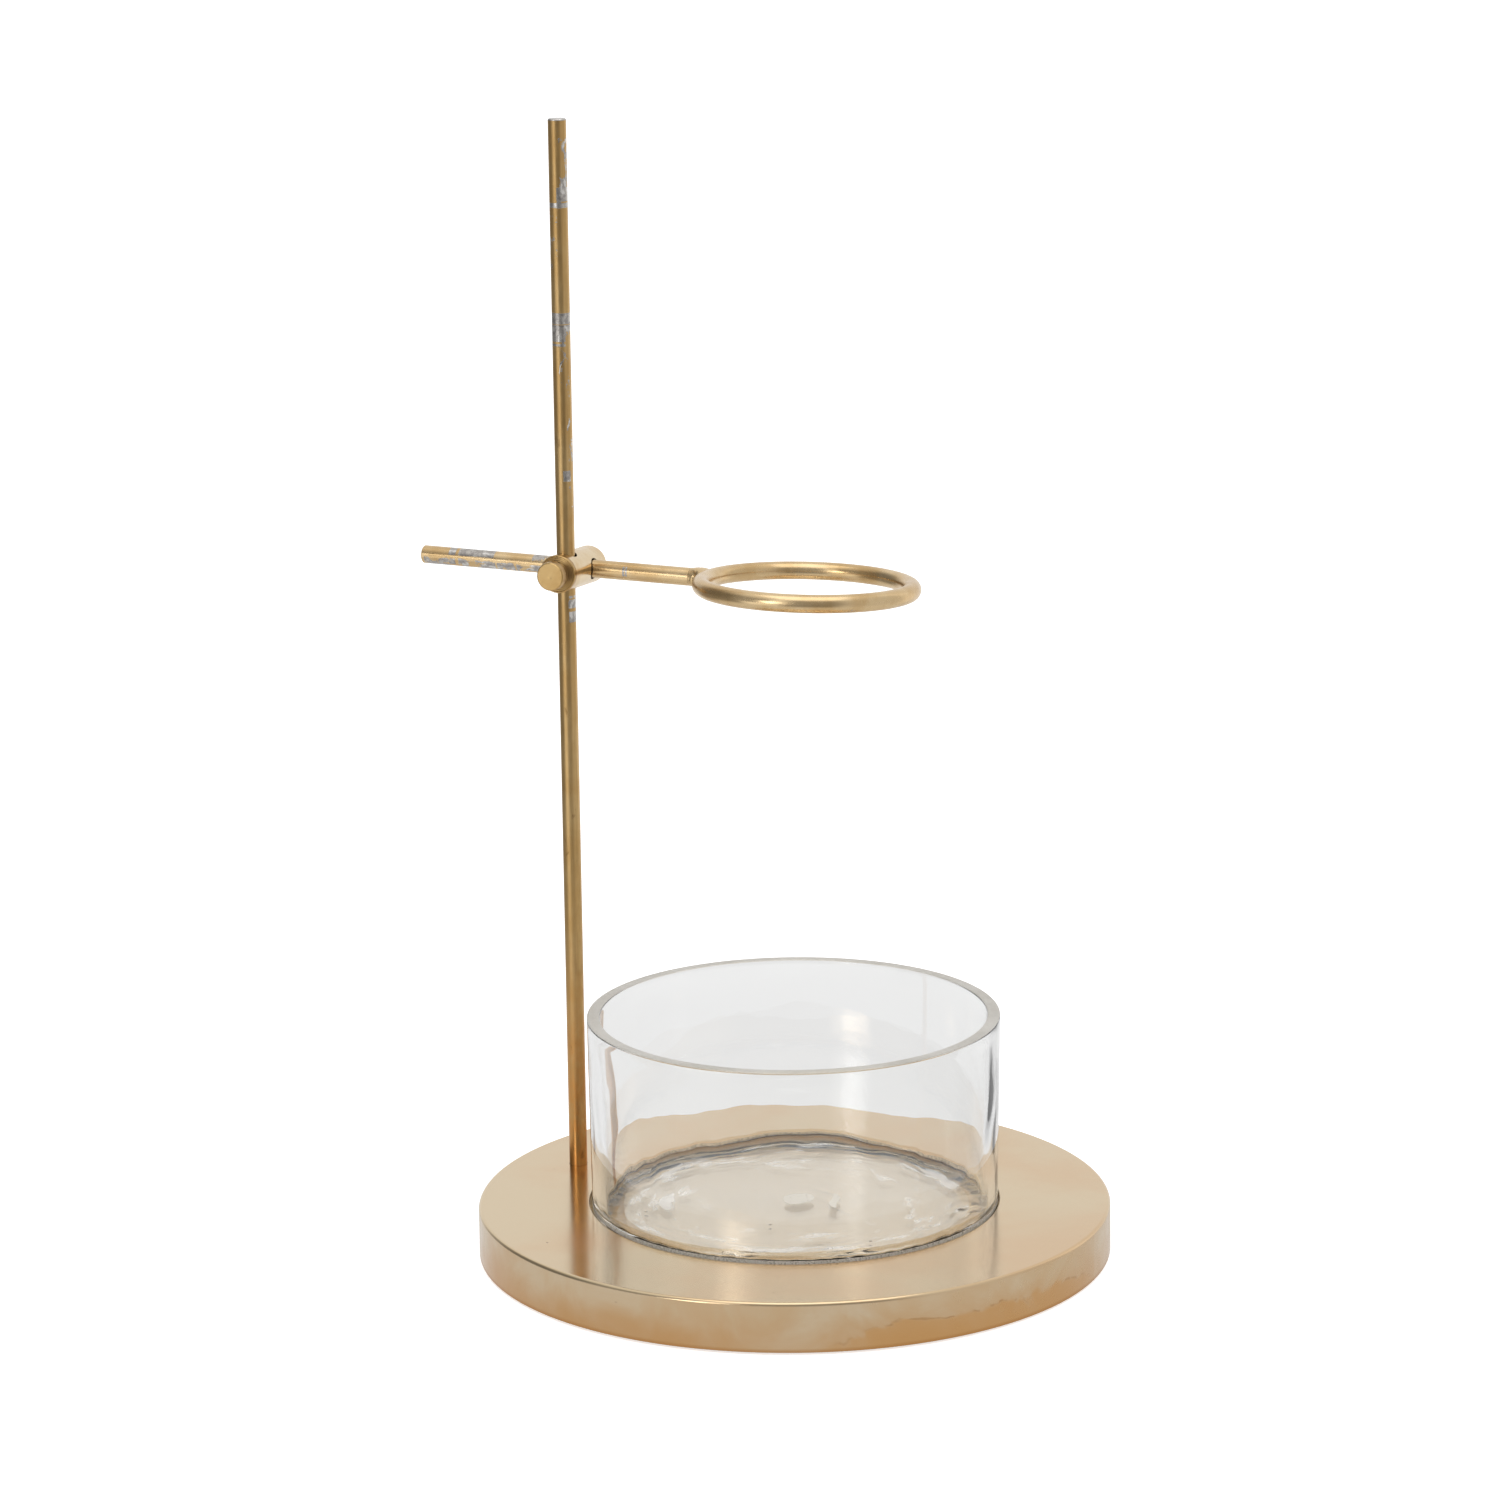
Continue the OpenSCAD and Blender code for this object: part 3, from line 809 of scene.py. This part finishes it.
def make_dish(materials):
    """Thick hand-made dish: straight uneven wall, ground rim, and a floor with a wavy edge, swirls near the
    wall, and a pontil scar in the middle with a fold beside it."""
    centre = DISH_MIDDLE
    rim_r = (dish_high.x - dish_low.x) / 2
    height = dish_high.z - dish_low.z
    foot_r = rim_r - 0.75 * MM
    wall = 4.2 * MM
    floor_h = 5.7 * MM
    heel = 2.5 * MM
    lip = 0.6 * MM
    cove = 0.7 * MM
    inner_foot_r = foot_r - wall
    above_well = BASE_TOP - dish_low.z      # where the wall comes out of the base's well
    side = studio_direction(90, 0)
    front = studio_direction(0, 0)

    profile = [(0, 0.5 * MM)]
    profile += line(profile[0], (foot_r - heel - 6 * MM, 0.25 * MM), 20)
    profile += line(profile[-1], (foot_r - heel, 0.06 * MM), 4)
    heel_start = len(profile) - 1
    profile += arc(foot_r - heel, heel + 0.06 * MM, heel, -90, 0, 10)[1:]
    profile += line(profile[-1], (foot_r + 0.01 * MM, above_well - 0.6 * MM), 6)
    foot_start = len(profile) - 1
    profile += line(profile[-1], (foot_r + 0.02 * MM, above_well + 0.9 * MM), 6)
    foot_end = len(profile) - 1
    profile += line(profile[-1], (rim_r, height - lip), 26)
    rim_start = len(profile) - 1
    profile += arc(rim_r - lip, height - lip, lip, 0, 90, 5)[1:]
    profile += line(profile[-1], (rim_r - wall + lip, height), 6)
    profile += arc(rim_r - wall + lip, height - lip, lip, 90, 180, 5)[1:]
    rim_end = len(profile) - 1
    profile += line(profile[-1], (inner_foot_r, floor_h + cove), 60)
    cove_start = len(profile)
    profile += arc(inner_foot_r - cove, floor_h + cove, cove, 0, -90, 8)[1:]
    floor_start = len(profile)
    profile += line(profile[-1], (0, floor_h), 140)

    def crawl(c, s):
        """How far the floor's edge wanders up the wall: slow swells, with sudden small steps at the sides."""
        slow = noise.noise(Vector((c * 2.1, s * 2.1, 3.0)))
        jag = noise.noise(Vector((c * 10, s * 10, 9.0)))
        small = noise.noise(Vector((c * 30, s * 30, 5.0)))
        at_sides = 0.35 + 0.65 * abs(c * side.x + s * side.y) ** 1.5
        return (0.3 + 0.5 * slow + (1.0 * abs(jag) + 0.25 * small) * at_sides) * MM

    def scar_edge(x, y):
        """Radius of the pontil scar towards a place on the floor."""
        turn = math.atan2(y, x)
        return 5.0 * MM * (1 + 0.20 * math.cos(turn - 1.1) + 0.07 * math.sin(3 * turn))

    def fold_shape(x, y):
        """Bent ridge of glass to the right of the scar, from 0 to 1."""
        right = x * side.x + y * side.y - 12.6 * MM
        toward = x * front.x + y * front.y - 4.0 * MM
        across = right - 0.35 * toward + 2.2 * MM * math.sin(toward * 260)
        return math.exp(-(across / (1.5 * MM)) ** 2 - (toward / (9 * MM)) ** 2)

    def floor_skin(c, s, radius):
        """Height of the floor above its mean level: swirls near the wall, the pontil scar and the fold."""
        x, y = c * radius, s * radius
        share = radius / inner_foot_r
        slow = noise.noise(Vector((x * 28, y * 28, 11)))
        near_wall = clipped((share - 0.70) / 0.2)
        warp = noise.noise(Vector((x * 60, y * 60, 2))) * 8
        agate = math.sin(share * 95 + warp) * noise.noise(Vector((c * 2.5, s * 2.5, 6)))
        pool = noise.noise(Vector((x * 120, y * 120, 4)))
        flatten = 1.0 - clipped((share - 0.94) / 0.06)
        skin = 0.14 * slow + (0.17 * agate + 0.17 * pool) * near_wall
        scar = 0.05 / (1 + math.exp((radius - scar_edge(x, y)) / (0.45 * MM)))
        fold = 0.20 * fold_shape(x, y)
        climb = crawl(c, s) * share ** 22
        return (skin + scar + fold) * MM * flatten + climb

    def unevenness(ring, angle, radius, h):
        """The outer wall only draws in, so that it keeps its size. The rim is true, and the inner wall drifts
        both ways."""
        c, s = math.cos(angle), math.sin(angle)
        if ring < rim_start:
            level = min(1.0, h / (heel * 2))
            drift = noise.noise(Vector((c * 1.3, s * 1.3, h * 22))) * 0.16 * MM * level
            fade = min(1.0, (height - h) / (8 * MM))
            return radius + min(drift, 0.0) * fade, h
        if ring <= rim_end:
            return radius, h
        if ring < cove_start:
            depth = (height - h) / (height - floor_h - cove)
            fade = min(1.0, (height - h) / (6 * MM))
            drift = noise.noise(Vector((c * 2.2 + 5, s * 2.2, h * 26))) * 0.34 * MM
            drift += noise.noise(Vector((c * 10, s * 10, h * 90))) * 0.07 * MM * depth ** 0.5
            drift += noise.noise(Vector((c * 5, s * 5, h * 260))) * 0.03 * MM * depth ** 3
            return radius + drift * fade, h + crawl(c, s) * depth ** 8
        if ring < floor_start:
            return radius, h + crawl(c, s)
        return radius, h + floor_skin(c, s, radius)

    place = Matrix.Translation((centre.x, centre.y, dish_low.z))
    build = turned(profile, DISH_SEGMENTS, place, unevenness)
    piece = new_piece("glass_dish_blown", "dish", build, materials, "glass_dish")
    for polygon in piece.data.polygons:
        row = polygon.index // DISH_SEGMENTS
        x, y = polygon.center.x - centre.x, polygon.center.y - centre.y
        if rim_start + 2 <= row <= rim_end - 3:
            polygon.material_index = GROUND
        # the band at the well's lip: pale frosted glass as painted light, for the light that the clear heel
        # bends and reflects there
        elif foot_start <= row < foot_end:
            polygon.material_index = FOOT_LIGHT_BAND
        # heel and cove get an amber tint: a painted reflection of the brass well
        elif heel_start <= row < foot_start or cove_start - 3 <= row < floor_start + 10:
            polygon.material_index = HEEL_BRASS_TINT
        # pale frosted glass on the ground pontil scar, and on the fold as a painted highlight
        elif row > floor_start and (math.hypot(x, y) < scar_edge(x, y) or fold_shape(x, y) > 0.55):
            polygon.material_index = SCAR_AND_FOLD_HIGHLIGHT
        elif row > floor_start:
            polygon.material_index = FLOOR
        else:
            polygon.material_index = CLEAR
    piece.visible_shadow = False
    return piece


def make_felt(material):
    """Felt sheet with soft, slightly uneven edges."""
    radius = (felt_high.x - felt_low.x) / 2
    thick = felt_high.z - felt_low.z
    soft = thick * 0.45                     # radius of the edges
    ragged_width = 1.5 * MM
    profile = [(0, 0)]
    profile += line(profile[0], (radius - soft, 0), 24)
    profile += arc(radius - soft, soft, soft, -90, 0, 4)[1:]
    profile += arc(radius - soft, thick - soft, soft, 0, 90, 4)
    profile += line(profile[-1], (0, thick), 24)

    def fray(ring, angle, r, h):
        c, s = math.cos(angle), math.sin(angle)
        ragged = noise.noise(Vector((c * 30, s * 30, h * 900)))
        nap = noise.noise(Vector((c * r * 500, s * r * 500, 2)))
        edge = max(0.0, (r - radius + ragged_width) / ragged_width)
        lift = 0.04 * MM * max(0.0, nap) if h < soft else 0.0
        return r + min(0.0, ragged) * 0.35 * MM * edge, h + lift

    build = turned(profile, 256, Matrix.Translation((0, 0, felt_low.z)), fray)
    return new_piece("base_felt_sheet", "base", build, [material], "base_felt")


# ---------------------------------------------------------------- putting it together

def dress(node, material):
    """Gives a carried-over CAD node its finished material."""
    mesh = frame["nodes"][node].data
    mesh.materials.clear()
    mesh.materials.append(material)


def dress_rods():
    """Wear on the plated rods: whole bands where the clamp has been, flakes elsewhere. Returns the brass of
    the ring."""
    up = Vector((0, 0, 1))
    right_side = studio_direction(62, 0)
    left_side = studio_direction(-50, 0)
    front = studio_direction(20, 0)
    top = rod_high.z
    clamp_at = SCREW_POINT.z

    def below_top(start, end, facing, reach, amount):
        """Wear on a stretch given in mm below the rod's top end."""
        return top - end * MM, top - start * MM, facing, reach, amount

    dress("upright_rod", aged_brass_material("aged_brass_rod", ROD_AXIS, up, [
        below_top(-1, 0.6, None, 0, 0.50),
        below_top(0.6, 6, front, 80, 0.17),
        below_top(6, 22, right_side, 60, 0.235),
        below_top(22, 28.6, right_side, 70, 0.55),
        below_top(26.6, 28.6, left_side, 70, 0.50),
        below_top(31, 50, left_side, 45, 0.20),
        below_top(62.8, 68.6, None, 0, 0.60),
        below_top(68.6, 73.6, left_side, 75, 0.58),
        below_top(68.6, 74, right_side, 70, 0.22),
        below_top(74, 92, front, 40, 0.19),
        below_top(92, 132, right_side, 35, 0.19),
        below_top(114.6, 118.2, front, 24, 0.42),
        (clamp_at - 17 * MM, clamp_at - 8 * MM, right_side, 48, 0.36),
        (clamp_at - 40 * MM, clamp_at - 17 * MM, right_side, 30, 0.17),
    ], srgb(195, 164, 114), srgb(185, 150, 97), (0.28, 0.38), 1.0, stain=(105 * MM, 30 * MM)))

    cleaner_brass = srgb(216, 190, 148), srgb(198, 166, 118), (0.22, 0.30), 0.15
    clamp_turn = CLAMP.to_3x3()
    above, below = clamp_turn.col[2], -clamp_turn.col[2]
    toward_front = -clamp_turn.col[1]
    dress("support_arm", aged_brass_material("aged_brass_arm", ARM_POINT, ALONG_ARM, [
        (-55.5 * MM, -6 * MM, (toward_front * 0.55 + below).normalized(), 62, 0.31),
        (-46.4 * MM, -29.8 * MM, (toward_front * 0.5 + above).normalized(), 42, 0.60),
        (-16 * MM, -10 * MM, (toward_front * 0.5 + above).normalized(), 42, 0.27),
        (17.0 * MM, 18.6 * MM, (toward_front + above * 0.1).normalized(), 30, 0.80),
    ], *cleaner_brass))

    ring_middle = CLAMP @ Vector((RING_X, ARM_Y, 0))
    ring = aged_brass_material("aged_brass_ring", ring_middle, front, [
        (8 * MM, 40 * MM, below, 60, 0.16),
    ], *cleaner_brass)
    dress("support_ring", ring)
    return ring


make_camera()
make_studio()

turned_brass = satin_brass_material("turned_brass", srgb(190, 161, 112), srgb(176, 143, 92))
steel = steel_material()

dress("base_shell", base_brass_material())
dress("recess_cup", well_brass_material())
dress("clamp_body", satin_brass_material("satin_brass", srgb(222, 202, 168), srgb(212, 184, 142)))
for inner in ("bottom_plate", "bottom_screws", "rod_socket", "rod_washer", "rod_lock_nut",
              "spacer_slug", "pressure_tip"):
    dress(inner, steel)
dress("ballast_disc", iron_material())
ring_brass = dress_rods()

make_thumb_screw(turned_brass)
make_collar(turned_brass)
make_weld(ring_brass)
make_dish([
    glass_material("dish_glass", (0.992, 0.994, 0.990, 1)),
    frosted_glass_material("ground_glass", srgb(208, 203, 192), srgb(234, 230, 222), 0.35, 0.45),
    # pale frosted glass: the ground pontil scar, and a painted highlight along the fold
    frosted_glass_material("scar_and_fold_highlight_glass", srgb(244, 236, 220), srgb(250, 244, 232), 0.35, 0.35),
    # painted light: a pale frosted band where the clear heel shows refracted and reflected light
    frosted_glass_material("foot_band_painted_light", srgb(222, 219, 211), srgb(244, 242, 236), 0.40, 0.30),
    # amber tint: painted reflection of the brass well in the heel and cove
    glass_material("heel_glass_brass_reflection", srgb(226, 206, 174)),
    glass_material("floor_glass", (0.985, 0.985, 0.975, 1), milky=0.42),
])
make_felt(felt_material())
